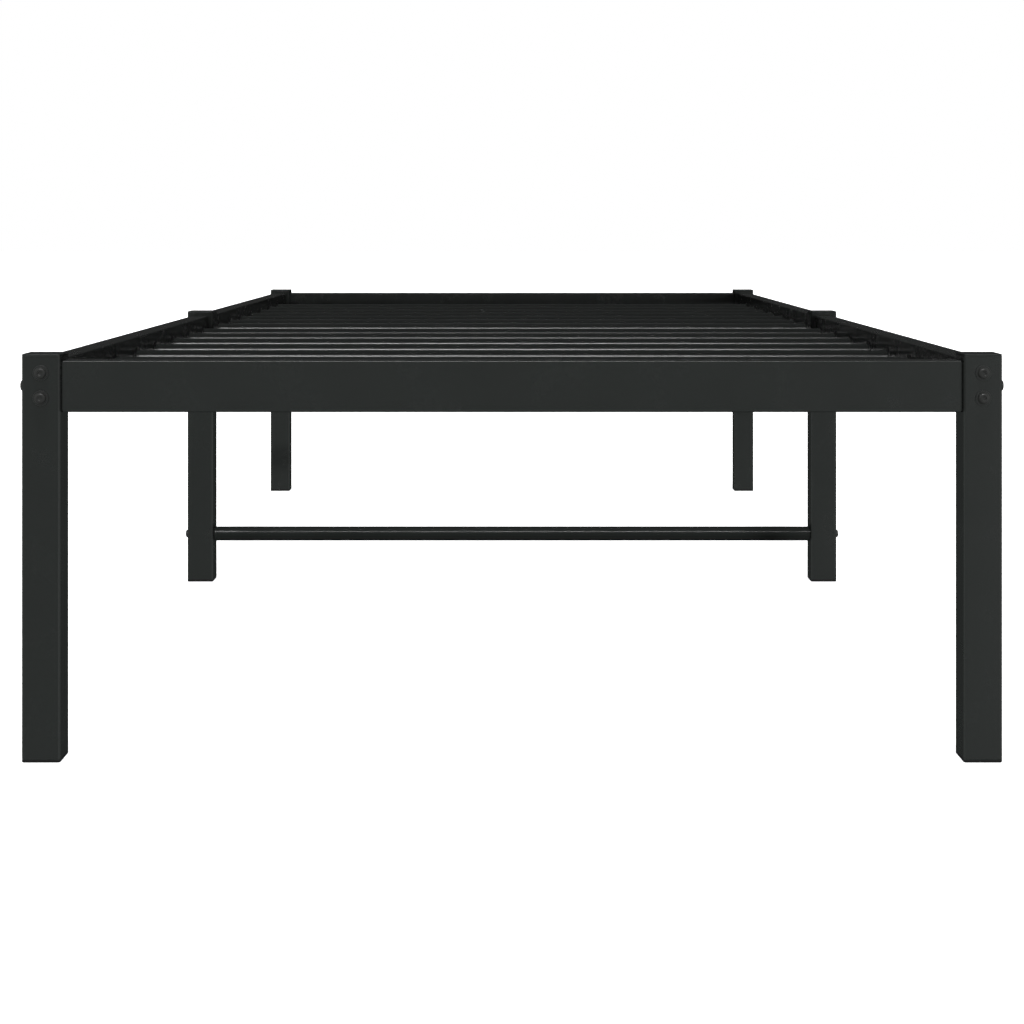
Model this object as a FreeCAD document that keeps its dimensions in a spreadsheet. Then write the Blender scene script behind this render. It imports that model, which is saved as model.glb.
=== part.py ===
import FreeCAD, Part
import math
import os
import Sketcher

# A knock-down single bed frame in square steel tube. Six legs carry two end rails and two
# side rails. Each side rail is in two halves that meet at a middle leg, and 14 round slats
# lie across the frame with their ends in plastic bushes in the side rails.
#
# The origin is on the floor under the middle of the bed. +X is to the right as seen from
# the foot end, +Y runs towards the head end, +Z is up. All sizes are in millimetres.

doc = FreeCAD.newDocument("metal_bed_frame")

# ---------------------------------------------------------------- driving dimensions

DIMENSIONS = [
    ("bed_width", 960, "over the outer faces of the legs"),
    ("bed_length", 2060, "over the end faces of the legs"),
    ("bed_height", 400, "floor to the top of the leg caps"),
    ("middle_leg_lead", 9, "middle legs stand this far forward of the middle"),
    ("leg_size", 38, "side of the square leg tube"),
    ("leg_wall", 1.5, "leg tube wall"),
    ("leg_corner", 2.5, "outside corner radius of the leg tube"),
    ("rail_width", 25, "across a rail"),
    ("rail_depth", 51, "height of a rail"),
    ("rail_wall", 1.5, "rail tube wall"),
    ("rail_corner", 2, "outside corner radius of a rail"),
    ("rail_drop", 6.7, "top of the rails below the top of the legs"),
    ("end_gap", 1, "rail tube short of a corner leg, where its end plate stands proud"),
    ("seat_gap", 0.5, "half rail short of the middle leg"),
    ("cap_head", 2.2, "thickness of a leg cap's head"),
    ("glide_head", 3, "thickness of a foot glide under the leg"),
    ("glide_reach", 18, "depth of a foot glide's plug"),
    ("glide_round", 1, "rounding of a foot glide's bottom edge"),
    ("plug_wall", 1.8, "wall of the plug under a cap and over a glide"),
    ("plug_fit", 0.2, "between a plug and the leg tube, each side"),
    ("plug_air", 3.8, "between a cap's plug and the bolts below it"),
    ("slat_diameter", 21, "round slat tube"),
    ("slat_wall", 1.2, "slat tube wall"),
    ("slat_drop", 1, "slats' centre line below the rails'"),
    ("slat_inset_middle", 73, "middle leg's centre to the slats beside it"),
    ("slat_inset_end", 155, "foot end rail's centre to the first slat"),
    ("slat_end_play", 0.3, "slat end to the floor of its bush"),
    ("bush_wall", 1.5, "wall and floor of a slat bush"),
    ("bush_fit", 0.15, "round a bush, and between it and its slat"),
    ("bush_reach", 14, "rail's inner face to the end of a bush"),
    ("bush_lip", 1.3, "bush flange beyond its hole, all round"),
    ("bush_lip_height", 1, "thickness of the bush flange"),
    ("crossbar_diameter", 21, "round bar between the middle legs"),
    ("crossbar_wall", 1.5, "crossbar tube wall"),
    ("crossbar_height", 68.5, "floor to the crossbar's centre line"),
    ("plate_thickness", 3, "plate welded in the end of a rail"),
    ("weld_fit", 0.1, "round a welded plate, insert or nut bore"),
    ("insert_length", 20, "threaded plug welded in the end of the crossbar"),
    ("sleeve_wall", 2, "wall of the sleeve that a half rail slides over"),
    ("sleeve_fit", 0.3, "between a sleeve and its half rail, each side"),
    ("sleeve_length", 36, "middle leg's face to the end of a sleeve"),
    ("bolt_diameter", 6, "M6 bolts"),
    ("bolt_clearance", 0.25, "round a bolt in a plain hole"),
    ("bolt_spacing", 24.6, "between the two bolts of a side rail's end"),
    ("bolt_rise", 1.3, "the middle of those two bolts above the rails' centre line"),
    ("bolt_tail", 2.4, "bolt beyond its nut"),
    ("head_diameter", 11.6, "button head"),
    ("head_height", 3.4, "button head"),
    ("head_round", 2.6, "rounding of the button head's rim"),
    ("socket_flats", 4, "hexagon socket across flats"),
    ("socket_depth", 2, "hexagon socket"),
    ("crossbar_grip", 15, "crossbar bolt inside its insert"),
    ("washer_diameter", 15.2, "washer under a button head"),
    ("washer_thickness", 1.6, "washer under a button head"),
    ("nut_flats", 10, "weld nut across flats"),
    ("nut_height", 5, "weld nut"),
]
SLATS_PER_HALF = 7

dims = doc.addObject("Spreadsheet::Sheet", "dims")
for row, (alias, value, meaning) in enumerate(DIMENSIONS, start=1):
    dims.set(f"A{row}", meaning)
    dims.set(f"B{row}", str(value))
    dims.setAlias(f"B{row}", alias)
doc.recompute()

# Places and sizes that follow from the sheet, as expressions.
LEG_X = "((dims.bed_width - dims.leg_size) / 2)"
LEG_INNER_X = f"({LEG_X} - dims.leg_size / 2)"
LEG_OUTER_X = f"({LEG_X} + dims.leg_size / 2)"
END_LEG_Y = "((dims.bed_length - dims.leg_size) / 2)"
MIDDLE_LEG_Y = "(-dims.middle_leg_lead)"
RAIL_Z = "(dims.bed_height - dims.rail_drop - dims.rail_depth / 2)"
SLAT_Z = f"({RAIL_Z} - dims.slat_drop)"
SIDE_BOLTS_Z = f"({RAIL_Z} + dims.bolt_rise)"
LEG_TUBE_TOP = "(dims.bed_height - dims.cap_head)"
FOOT_HALF_PITCH = f"({END_LEG_Y} - dims.middle_leg_lead)"
HEAD_HALF_PITCH = f"({END_LEG_Y} + dims.middle_leg_lead)"
SLAT_PITCH = (
    f"(({FOOT_HALF_PITCH} - dims.slat_inset_middle - dims.slat_inset_end)"
    f" / {SLATS_PER_HALF - 1})"
)
LEG_BORE = "(dims.leg_size - 2 * dims.leg_wall)"
RAIL_BORE_WIDTH = "(dims.rail_width - 2 * dims.rail_wall)"
RAIL_BORE_DEPTH = "(dims.rail_depth - 2 * dims.rail_wall)"
RAIL_INNER_X = f"({LEG_X} - dims.rail_width / 2)"
BOLT_HOLE = "(dims.bolt_diameter + 2 * dims.bolt_clearance)"
BUSH_OUTER = "(dims.slat_diameter + 2 * dims.bush_wall + 2 * dims.bush_fit)"
BUSH_HOLE = f"({BUSH_OUTER} + 2 * dims.bush_fit)"
SLEEVE_WIDTH = f"({RAIL_BORE_WIDTH} - 2 * dims.sleeve_fit)"
SLEEVE_DEPTH = f"({RAIL_BORE_DEPTH} - 2 * dims.sleeve_fit)"
LOCK_BOLT_Y = "(dims.sleeve_length / 2)"
CORNER_BOLT_LENGTH = (
    "(dims.washer_thickness + dims.leg_size + dims.plate_thickness"
    " + dims.nut_height + dims.bolt_tail)"
)
CROSSBAR_BOLT_LENGTH = "(dims.washer_thickness + dims.leg_size + dims.crossbar_grip)"
LOCK_BOLT_LENGTH = (
    "(dims.rail_wall + dims.sleeve_fit + dims.sleeve_wall + dims.nut_height"
    " + dims.bolt_tail / 2)"
)

SIDES = (("left", -1), ("right", 1))
HALVES = (("front", -1), ("rear", 1))
CORNERS = ((-1, -1), (-1, 1), (1, -1), (1, 1))
TOUCH = 1e-6

parts = []

# ---------------------------------------------------------------- ways of making


def millimetres(expression):
    """The value of an expression on the sheet, in millimetres."""
    return float(dims.evalExpression(expression))


def new_body(label, is_part=True):
    """A body. One that is a part is exported under its label."""
    body = doc.addObject("PartDesign::Body", label)
    body.Label = label
    if is_part:
        parts.append(body)
    return body


def origin_feature(body, role):
    for feature in body.Origin.OriginFeatures:
        if feature.Role == role:
            return feature
    raise ValueError(role)


def new_sketch(body, name, plane, offset=("0", "0", "0")):
    """A sketch on one of the body's own origin planes, moved by an offset in that plane."""
    sketch = body.newObject("Sketcher::SketchObject", name)
    sketch.AttachmentSupport = [(origin_feature(body, plane), "")]
    sketch.MapMode = "FlatFace"
    for axis, expression in zip("xyz", offset):
        if expression != "0":
            sketch.setExpression(f"AttachmentOffset.Base.{axis}", expression)
    return sketch


def draw_rectangle(sketch, width, depth):
    """A rectangle centred on the sketch's origin."""
    across = millimetres(width) / 2
    up = millimetres(depth) / 2
    corners = [(-across, -up), (across, -up), (across, up), (-across, up)]
    sides = []
    for index in range(4):
        start = FreeCAD.Vector(*corners[index], 0)
        end = FreeCAD.Vector(*corners[(index + 1) % 4], 0)
        sides.append(sketch.addGeometry(Part.LineSegment(start, end)))
    for index in range(4):
        sketch.addConstraint(
            Sketcher.Constraint("Coincident", sides[index], 2, sides[(index + 1) % 4], 1)
        )
        kind = "Horizontal" if index % 2 == 0 else "Vertical"
        sketch.addConstraint(Sketcher.Constraint(kind, sides[index]))
    sketch.addConstraint(Sketcher.Constraint("Symmetric", sides[0], 1, sides[2], 1, -1, 1))
    wide = sketch.addConstraint(
        Sketcher.Constraint("DistanceX", sides[0], 1, sides[0], 2, 2 * across)
    )
    high = sketch.addConstraint(
        Sketcher.Constraint("DistanceY", sides[1], 1, sides[1], 2, 2 * up)
    )
    sketch.setExpression(f"Constraints[{wide}]", width)
    sketch.setExpression(f"Constraints[{high}]", depth)


def draw_circle(sketch, diameter):
    """A circle centred on the sketch's origin."""
    centre = FreeCAD.Vector(0, 0, 0)
    up = FreeCAD.Vector(0, 0, 1)
    circle = sketch.addGeometry(Part.Circle(centre, up, millimetres(diameter) / 2))
    sketch.addConstraint(Sketcher.Constraint("Coincident", circle, 3, -1, 1))
    size = sketch.addConstraint(
        Sketcher.Constraint("Diameter", circle, millimetres(diameter))
    )
    sketch.setExpression(f"Constraints[{size}]", diameter)


def draw_hexagon(sketch, flats):
    """A regular hexagon centred on the sketch's origin, with a corner on its X axis."""
    radius = millimetres(flats) / 2 / math.cos(math.pi / 6)
    corners = []
    for index in range(6):
        turn = index * math.pi / 3
        corners.append(FreeCAD.Vector(radius * math.cos(turn), radius * math.sin(turn), 0))
    sides = []
    for index in range(6):
        line = Part.LineSegment(corners[index], corners[(index + 1) % 6])
        sides.append(sketch.addGeometry(line))
    ring = Part.Circle(FreeCAD.Vector(0, 0, 0), FreeCAD.Vector(0, 0, 1), radius)
    guide = sketch.addGeometry(ring, True)
    sketch.addConstraint(Sketcher.Constraint("Coincident", guide, 3, -1, 1))
    for index in range(6):
        following = sides[(index + 1) % 6]
        sketch.addConstraint(Sketcher.Constraint("Coincident", sides[index], 2, following, 1))
        sketch.addConstraint(Sketcher.Constraint("PointOnObject", sides[index], 1, guide))
    for index in range(1, 6):
        sketch.addConstraint(Sketcher.Constraint("Equal", sides[0], sides[index]))
    sketch.addConstraint(Sketcher.Constraint("PointOnObject", sides[0], 1, -1))
    size = sketch.addConstraint(Sketcher.Constraint("Diameter", guide, 2 * radius))
    sketch.setExpression(f"Constraints[{size}]", f"{flats} / cos(30 deg)")


def add_pad(body, sketch, length, backwards=False, symmetric=False):
    pad = body.newObject("PartDesign::Pad", sketch.Name + "_pad")
    pad.Profile = sketch
    pad.setExpression("Length", length)
    pad.Reversed = backwards
    if symmetric:
        pad.SideType = "Symmetric"
    doc.recompute()
    return pad


def add_pocket(body, sketch, length=None, backwards=False):
    """A pocket of a given length, or right through both ways. It has to cut something."""
    volume_before = body.Shape.Volume
    pocket = body.newObject("PartDesign::Pocket", sketch.Name + "_cut")
    pocket.Profile = sketch
    if length is None:
        pocket.Type = "ThroughAll"
        pocket.SideType = "Symmetric"
    else:
        pocket.setExpression("Length", length)
        pocket.Reversed = backwards
    doc.recompute()
    if body.Shape.Volume >= volume_before:
        raise RuntimeError(f"{pocket.Name} of {body.Label} cuts nothing")
    return pocket


def outer_edges(shape, axis):
    """Names of the four edges along an axis at the outside corners of a tube."""
    box = shape.BoundBox
    lows = (box.XMin, box.YMin, box.ZMin)
    highs = (box.XMax, box.YMax, box.ZMax)
    names = []
    for number, edge in enumerate(shape.Edges, start=1):
        if len(edge.Vertexes) != 2:
            continue
        first, last = (vertex.Point for vertex in edge.Vertexes)
        at_corner = True
        for other in range(3):
            if other == axis:
                continue
            near = min(abs(first[other] - lows[other]), abs(first[other] - highs[other]))
            straight = abs(first[other] - last[other]) < TOUCH
            at_corner = at_corner and near < TOUCH and straight
        if at_corner:
            names.append(f"Edge{number}")
    return names


def round_edges(body, feature, edges, radius):
    fillet = body.newObject("PartDesign::Fillet", feature.Name + "_round")
    fillet.Base = (feature, edges)
    fillet.setExpression("Radius", radius)
    doc.recompute()
    return fillet


def place(item, x="0", y="0", z="0", rotation=None):
    """Put a body or link at its place, bound to the sheet."""
    item.Placement = FreeCAD.Placement(FreeCAD.Vector(), rotation or FreeCAD.Rotation())
    for axis, expression in (("x", x), ("y", y), ("z", z)):
        if expression != "0":
            item.setExpression(f"Placement.Base.{axis}", expression)


def turned(towards):
    """The rotation that turns +Z towards a direction."""
    return FreeCAD.Rotation(FreeCAD.Vector(0, 0, 1), FreeCAD.Vector(*towards))


def repeat(label, master, spots):
    """One part that holds a copy of the master at each spot: (x, y, z, rotation)."""
    copies = []
    for number, (x, y, z, rotation) in enumerate(spots, start=1):
        copy = doc.addObject("App::Link", f"{label}_{number}")
        copy.LinkedObject = master
        place(copy, x, y, z, rotation)
        copies.append(copy)
    group = doc.addObject("Part::Compound", label)
    group.Label = label
    group.Links = copies
    parts.append(group)


def signed(side, expression):
    return f"({side} * {expression})"


def beyond(side, centre, distance):
    """A place at a distance from a centre, towards one side."""
    return f"({centre} + {side} * ({distance}))"


# ---------------------------------------------------------------- legs
# Square tube, open at both ends. Corner legs have two bolt holes along Y for the side rail
# and one along X, between them, for the end rail. Middle legs have one along X for the
# crossbar.


def make_leg(label, side, y, is_corner):
    leg = new_body(label)
    tube = new_sketch(leg, f"{label}_tube", "XY_Plane")
    draw_rectangle(tube, "dims.leg_size", "dims.leg_size")
    draw_rectangle(tube, LEG_BORE, LEG_BORE)
    pad = add_pad(leg, tube, f"{LEG_TUBE_TOP} - dims.glide_head")
    round_edges(leg, pad, outer_edges(pad.Shape, 2), "dims.leg_corner")
    if is_corner:
        for name, direction in (("upper", 1), ("lower", -1)):
            rise = f"{direction} * dims.bolt_spacing / 2"
            height = f"{SIDE_BOLTS_Z} - dims.glide_head + {rise}"
            hole = new_sketch(leg, f"{label}_{name}_hole", "XZ_Plane", ("0", height, "0"))
            draw_circle(hole, BOLT_HOLE)
            add_pocket(leg, hole)
        cross_height = f"{RAIL_Z} - dims.glide_head"
    else:
        cross_height = "dims.crossbar_height - dims.glide_head"
    cross_hole = new_sketch(leg, f"{label}_cross_hole", "YZ_Plane", ("0", cross_height, "0"))
    draw_circle(cross_hole, BOLT_HOLE)
    add_pocket(leg, cross_hole)
    place(leg, signed(side, LEG_X), y, "dims.glide_head")


LEG_SPOTS = []
for side_name, side in SIDES:
    LEG_SPOTS.append((f"front_{side_name}", side, signed(-1, END_LEG_Y), True))
    LEG_SPOTS.append((f"middle_{side_name}", side, MIDDLE_LEG_Y, False))
    LEG_SPOTS.append((f"rear_{side_name}", side, END_LEG_Y, True))

for spot, side, y, is_corner in LEG_SPOTS:
    make_leg(f"{spot}_leg", side, y, is_corner)

# ---------------------------------------------------------------- leg caps and foot glides
# Moulded caps and glides, each a flat head the size of the leg on a hollow square plug.


def make_plug(label, side, y, head, reach, is_cap):
    """A head with its outer face away from the leg and its plug inside the leg."""
    plug = new_body(label)
    head_sketch = new_sketch(plug, f"{label}_head", "XY_Plane")
    draw_rectangle(head_sketch, "dims.leg_size", "dims.leg_size")
    head_pad = add_pad(plug, head_sketch, head, backwards=not is_cap)
    rounded = round_edges(plug, head_pad, outer_edges(head_pad.Shape, 2), "dims.leg_corner")
    if not is_cap:
        sole = []
        for number, edge in enumerate(rounded.Shape.Edges, start=1):
            if edge.BoundBox.ZMax < rounded.Shape.BoundBox.ZMin + TOUCH:
                sole.append(f"Edge{number}")
        round_edges(plug, rounded, sole, "dims.glide_round")
    skirt = new_sketch(plug, f"{label}_plug", "XY_Plane")
    outside = f"({LEG_BORE} - 2 * dims.plug_fit)"
    draw_rectangle(skirt, outside, outside)
    inside = f"({outside} - 2 * dims.plug_wall)"
    draw_rectangle(skirt, inside, inside)
    add_pad(plug, skirt, reach, backwards=is_cap)
    place(plug, signed(side, LEG_X), y, LEG_TUBE_TOP if is_cap else "dims.glide_head")


CAP_REACH = (
    "(dims.rail_drop + dims.rail_depth / 2 - dims.bolt_rise - dims.bolt_spacing / 2"
    " - dims.bolt_diameter / 2 - dims.cap_head - dims.plug_air)"
)
for spot, side, y, is_corner in LEG_SPOTS:
    make_plug(f"{spot}_leg_cap", side, y, "dims.cap_head", CAP_REACH, True)
    make_plug(f"{spot}_foot_glide", side, y, "dims.glide_head", "dims.glide_reach", False)

# ---------------------------------------------------------------- side rails
# Each side rail is two lengths of rectangular tube. A half runs from the middle leg to a
# corner leg, with a row of bush holes in its inner wall and a lock bolt hole underneath.


def slat_place(index):
    """Distance from the middle leg's centre to a slat."""
    return f"(dims.slat_inset_middle + {index} * {SLAT_PITCH})"


def make_half_rail(label, side, end, half_pitch):
    rail = new_body(label)
    tube = new_sketch(rail, f"{label}_tube", "XZ_Plane")
    draw_rectangle(tube, "dims.rail_width", "dims.rail_depth")
    draw_rectangle(tube, RAIL_BORE_WIDTH, RAIL_BORE_DEPTH)
    length = f"{half_pitch} - dims.leg_size - dims.seat_gap - dims.end_gap"
    pad = add_pad(rail, tube, length, backwards=end > 0)
    round_edges(rail, pad, outer_edges(pad.Shape, 1), "dims.rail_corner")

    start = "(dims.leg_size / 2 + dims.seat_gap)"
    first_slat = f"{end} * ({slat_place(0)} - {start})"
    drop = "-dims.slat_drop"
    hole = new_sketch(rail, f"{label}_bush_hole", "YZ_Plane", (first_slat, drop, "0"))
    draw_circle(hole, BUSH_HOLE)
    hole_cut = add_pocket(rail, hole, "dims.rail_width", backwards=side < 0)
    one_hole_volume = rail.Shape.Volume
    row = rail.newObject("PartDesign::LinearPattern", f"{label}_bush_holes")
    row.Originals = [hole_cut]
    row.Direction = (origin_feature(rail, "Y_Axis"), [""])
    row.Reversed = end < 0
    row.Mode = "Spacing"
    row.setExpression("Offset", SLAT_PITCH)
    row.Occurrences = SLATS_PER_HALF
    rail.Tip = row
    doc.recompute()
    if rail.Shape.Volume >= one_hole_volume:
        raise RuntimeError(f"{row.Name} cuts nothing")

    lock_place = f"{end} * ({LOCK_BOLT_Y} - dims.seat_gap)"
    lock = new_sketch(rail, f"{label}_lock_hole", "XY_Plane", ("0", lock_place, "0"))
    draw_circle(lock, BOLT_HOLE)
    add_pocket(rail, lock, "dims.rail_depth")
    place(rail, signed(side, LEG_X), beyond(end, MIDDLE_LEG_Y, start), RAIL_Z)


for side_name, side in SIDES:
    make_half_rail(f"front_side_rail_{side_name}", side, -1, FOOT_HALF_PITCH)
    make_half_rail(f"rear_side_rail_{side_name}", side, 1, HEAD_HALF_PITCH)

# ---------------------------------------------------------------- end rails
# One length of the same tube across each end, between the corner legs.

for end_name, end in HALVES:
    end_rail = new_body(f"{end_name}_end_rail")
    tube = new_sketch(end_rail, f"{end_name}_end_rail_tube", "YZ_Plane")
    draw_rectangle(tube, "dims.rail_width", "dims.rail_depth")
    draw_rectangle(tube, RAIL_BORE_WIDTH, RAIL_BORE_DEPTH)
    rail_length = f"2 * {LEG_X} - dims.leg_size - 2 * dims.end_gap"
    pad = add_pad(end_rail, tube, rail_length, symmetric=True)
    round_edges(end_rail, pad, outer_edges(pad.Shape, 0), "dims.rail_corner")
    place(end_rail, "0", signed(end, END_LEG_Y), RAIL_Z)

# ---------------------------------------------------------------- slats and their bushes
# Round tubes with plain ends. Each end sits in a moulded bush: a cup in the rail's inner
# wall with a flange on the wall's face.

SLAT_LENGTH = (
    f"(2 * ({RAIL_INNER_X} + dims.bush_reach - dims.bush_wall - dims.slat_end_play))"
)


def slat_row(end):
    """Y of each slat in one half, from the middle leg outwards."""
    return [beyond(end, MIDDLE_LEG_Y, slat_place(index)) for index in range(SLATS_PER_HALF)]


slat_places = list(reversed(slat_row(-1))) + slat_row(1)
for number, y in enumerate(slat_places, start=1):
    slat = new_body(f"slat_{number:02d}")
    ring = new_sketch(slat, f"slat_{number:02d}_tube", "YZ_Plane")
    draw_circle(ring, "dims.slat_diameter")
    draw_circle(ring, "(dims.slat_diameter - 2 * dims.slat_wall)")
    add_pad(slat, ring, SLAT_LENGTH, symmetric=True)
    place(slat, "0", y, SLAT_Z)

# The bush stands with its mouth towards +Z and its flange's back face at Z = 0.
bush = new_body("slat_bush", is_part=False)
cup = new_sketch(bush, "bush_cup", "XY_Plane")
draw_circle(cup, BUSH_OUTER)
add_pad(bush, cup, "dims.bush_reach", backwards=True)
flange = new_sketch(bush, "bush_flange", "XY_Plane")
draw_circle(flange, f"({BUSH_HOLE} + 2 * dims.bush_lip)")
add_pad(bush, flange, "dims.bush_lip_height")
mouth = new_sketch(bush, "bush_mouth", "XY_Plane", ("0", "0", "dims.bush_lip_height"))
draw_circle(mouth, "(dims.slat_diameter + 2 * dims.bush_fit)")
mouth_depth = "dims.bush_reach + dims.bush_lip_height - dims.bush_wall"
add_pocket(bush, mouth, mouth_depth)

for end_name, end in HALVES:
    for side_name, side in SIDES:
        spots = []
        for y in slat_row(end):
            spots.append((signed(side, RAIL_INNER_X), y, SLAT_Z, turned((-side, 0, 0))))
        repeat(f"{end_name}_slat_bushes_{side_name}", bush, spots)

# ---------------------------------------------------------------- middle crossbar
# Round tube between the middle legs, with a threaded steel plug welded in each end.

crossbar = new_body("middle_crossbar")
ring = new_sketch(crossbar, "crossbar_tube", "YZ_Plane")
draw_circle(ring, "dims.crossbar_diameter")
draw_circle(ring, "(dims.crossbar_diameter - 2 * dims.crossbar_wall)")
add_pad(crossbar, ring, f"2 * {LEG_INNER_X}", symmetric=True)
place(crossbar, "0", MIDDLE_LEG_Y, "dims.crossbar_height")

insert = new_body("crossbar_insert", is_part=False)
ring = new_sketch(insert, "insert_ring", "XY_Plane")
insert_outer = "(dims.crossbar_diameter - 2 * dims.crossbar_wall - 2 * dims.weld_fit)"
draw_circle(ring, insert_outer)
draw_circle(ring, "(dims.bolt_diameter + 2 * dims.weld_fit)")
add_pad(insert, ring, "dims.insert_length")
spots = []
for side in (-1, 1):
    mouth_x = signed(side, LEG_INNER_X)
    spots.append((mouth_x, MIDDLE_LEG_Y, "dims.crossbar_height", turned((-side, 0, 0))))
repeat("crossbar_inserts", insert, spots)

# ---------------------------------------------------------------- rail end plates
# A plate is welded in the mouth of each rail end that meets a corner leg, and stands proud
# by the end gap to seat on the leg. Side rail plates have two holes, end rail plates one.


def make_end_plate(label, hole_heights):
    """A plate in the XY plane, its seat at Z = 0 and its inner face towards +Z."""
    plate = new_body(label, is_part=False)
    face = new_sketch(plate, f"{label}_face", "XY_Plane")
    width = f"({RAIL_BORE_WIDTH} - 2 * dims.weld_fit)"
    depth = f"({RAIL_BORE_DEPTH} - 2 * dims.weld_fit)"
    draw_rectangle(face, width, depth)
    add_pad(plate, face, "dims.plate_thickness")
    for number, height in enumerate(hole_heights, start=1):
        hole = new_sketch(plate, f"{label}_hole_{number}", "XY_Plane", ("0", height, "0"))
        draw_circle(hole, BOLT_HOLE)
        add_pocket(plate, hole, "dims.plate_thickness", backwards=True)
    return plate


# Turns that stand the plates and nuts up, with their local Y axis vertical.
def facing_y(end):
    """Local +Z along +Y or -Y, local Y up."""
    across = FreeCAD.Vector(-end, 0, 0)
    up = FreeCAD.Vector(0, 0, 1)
    return FreeCAD.Rotation(across, up, FreeCAD.Vector(0, end, 0), "ZXY")


def facing_x(side):
    """Local +Z along +X or -X, local Y up."""
    across = FreeCAD.Vector(0, side, 0)
    up = FreeCAD.Vector(0, 0, 1)
    return FreeCAD.Rotation(across, up, FreeCAD.Vector(side, 0, 0), "ZXY")


bolt_rows = (
    "dims.bolt_rise + dims.bolt_spacing / 2",
    "dims.bolt_rise - dims.bolt_spacing / 2",
)
side_plate = make_end_plate("side_rail_end_plate", bolt_rows)
end_plate = make_end_plate("end_rail_end_plate", ("0",))

LEG_FACE_Y = f"({END_LEG_Y} - dims.leg_size / 2)"
side_plate_spots = []
end_plate_spots = []
for side, end in CORNERS:
    seat_y = signed(end, LEG_FACE_Y)
    side_plate_spots.append((signed(side, LEG_X), seat_y, RAIL_Z, facing_y(-end)))
    seat_x = signed(side, LEG_INNER_X)
    end_plate_spots.append((seat_x, signed(end, END_LEG_Y), RAIL_Z, facing_x(-side)))
repeat("side_rail_end_plates", side_plate, side_plate_spots)
repeat("end_rail_end_plates", end_plate, end_plate_spots)

# ---------------------------------------------------------------- half rail sleeves
# Rectangular tube stubs welded to the front and rear faces of the middle legs. A half rail
# slides over its sleeve and a bolt from below locks it.

sleeve = new_body("half_rail_sleeve", is_part=False)
tube = new_sketch(sleeve, "sleeve_tube", "XZ_Plane")
draw_rectangle(tube, SLEEVE_WIDTH, SLEEVE_DEPTH)
bore_width = f"({SLEEVE_WIDTH} - 2 * dims.sleeve_wall)"
bore_depth = f"({SLEEVE_DEPTH} - 2 * dims.sleeve_wall)"
draw_rectangle(tube, bore_width, bore_depth)
add_pad(sleeve, tube, "dims.sleeve_length", symmetric=True)
hole = new_sketch(sleeve, "sleeve_lock_hole", "XY_Plane")
draw_circle(hole, BOLT_HOLE)
add_pocket(sleeve, hole, SLEEVE_DEPTH)

sleeve_spots = []
for side, end in CORNERS:
    middle = beyond(end, MIDDLE_LEG_Y, "dims.leg_size / 2 + dims.sleeve_length / 2")
    sleeve_spots.append((signed(side, LEG_X), middle, RAIL_Z, None))
repeat("half_rail_sleeves", sleeve, sleeve_spots)

# ---------------------------------------------------------------- bolts, washers and nuts
# M6 button head bolts with a hexagon socket. A bolt's underside is at Z = 0, its head
# towards +Z and its shank towards -Z.


def make_bolt(label, length):
    bolt = new_body(label, is_part=False)
    head = new_sketch(bolt, f"{label}_head", "XY_Plane")
    draw_circle(head, "dims.head_diameter")
    head_pad = add_pad(bolt, head, "dims.head_height")
    rim = []
    for number, edge in enumerate(head_pad.Shape.Edges, start=1):
        if edge.BoundBox.ZMin > head_pad.Shape.BoundBox.ZMax - TOUCH:
            rim.append(f"Edge{number}")
    round_edges(bolt, head_pad, rim, "dims.head_round")
    socket_floor = "dims.head_height - dims.socket_depth"
    socket = new_sketch(bolt, f"{label}_socket", "XY_Plane", ("0", "0", socket_floor))
    draw_hexagon(socket, "dims.socket_flats")
    add_pocket(bolt, socket, "dims.head_height", backwards=True)
    shank = new_sketch(bolt, f"{label}_shank", "XY_Plane")
    draw_circle(shank, "dims.bolt_diameter")
    add_pad(bolt, shank, length, backwards=True)
    return bolt


corner_bolt = make_bolt("corner_bolt", CORNER_BOLT_LENGTH)
crossbar_bolt = make_bolt("crossbar_bolt", CROSSBAR_BOLT_LENGTH)
lock_bolt = make_bolt("lock_bolt", LOCK_BOLT_LENGTH)

washer = new_body("bolt_washer", is_part=False)
ring = new_sketch(washer, "washer_ring", "XY_Plane")
draw_circle(ring, "dims.washer_diameter")
draw_circle(ring, BOLT_HOLE)
add_pad(washer, ring, "dims.washer_thickness")

weld_nut = new_body("weld_nut", is_part=False)
hexagon = new_sketch(weld_nut, "nut_hexagon", "XY_Plane")
draw_hexagon(hexagon, "dims.nut_flats")
draw_circle(hexagon, "(dims.bolt_diameter + 2 * dims.weld_fit)")
add_pad(weld_nut, hexagon, "dims.nut_height")

LEG_END_Y = f"({END_LEG_Y} + dims.leg_size / 2)"
LOCK_NUT_Z = (
    f"({RAIL_Z} - dims.rail_depth / 2 + dims.rail_wall + dims.sleeve_fit + dims.sleeve_wall)"
)

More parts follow.
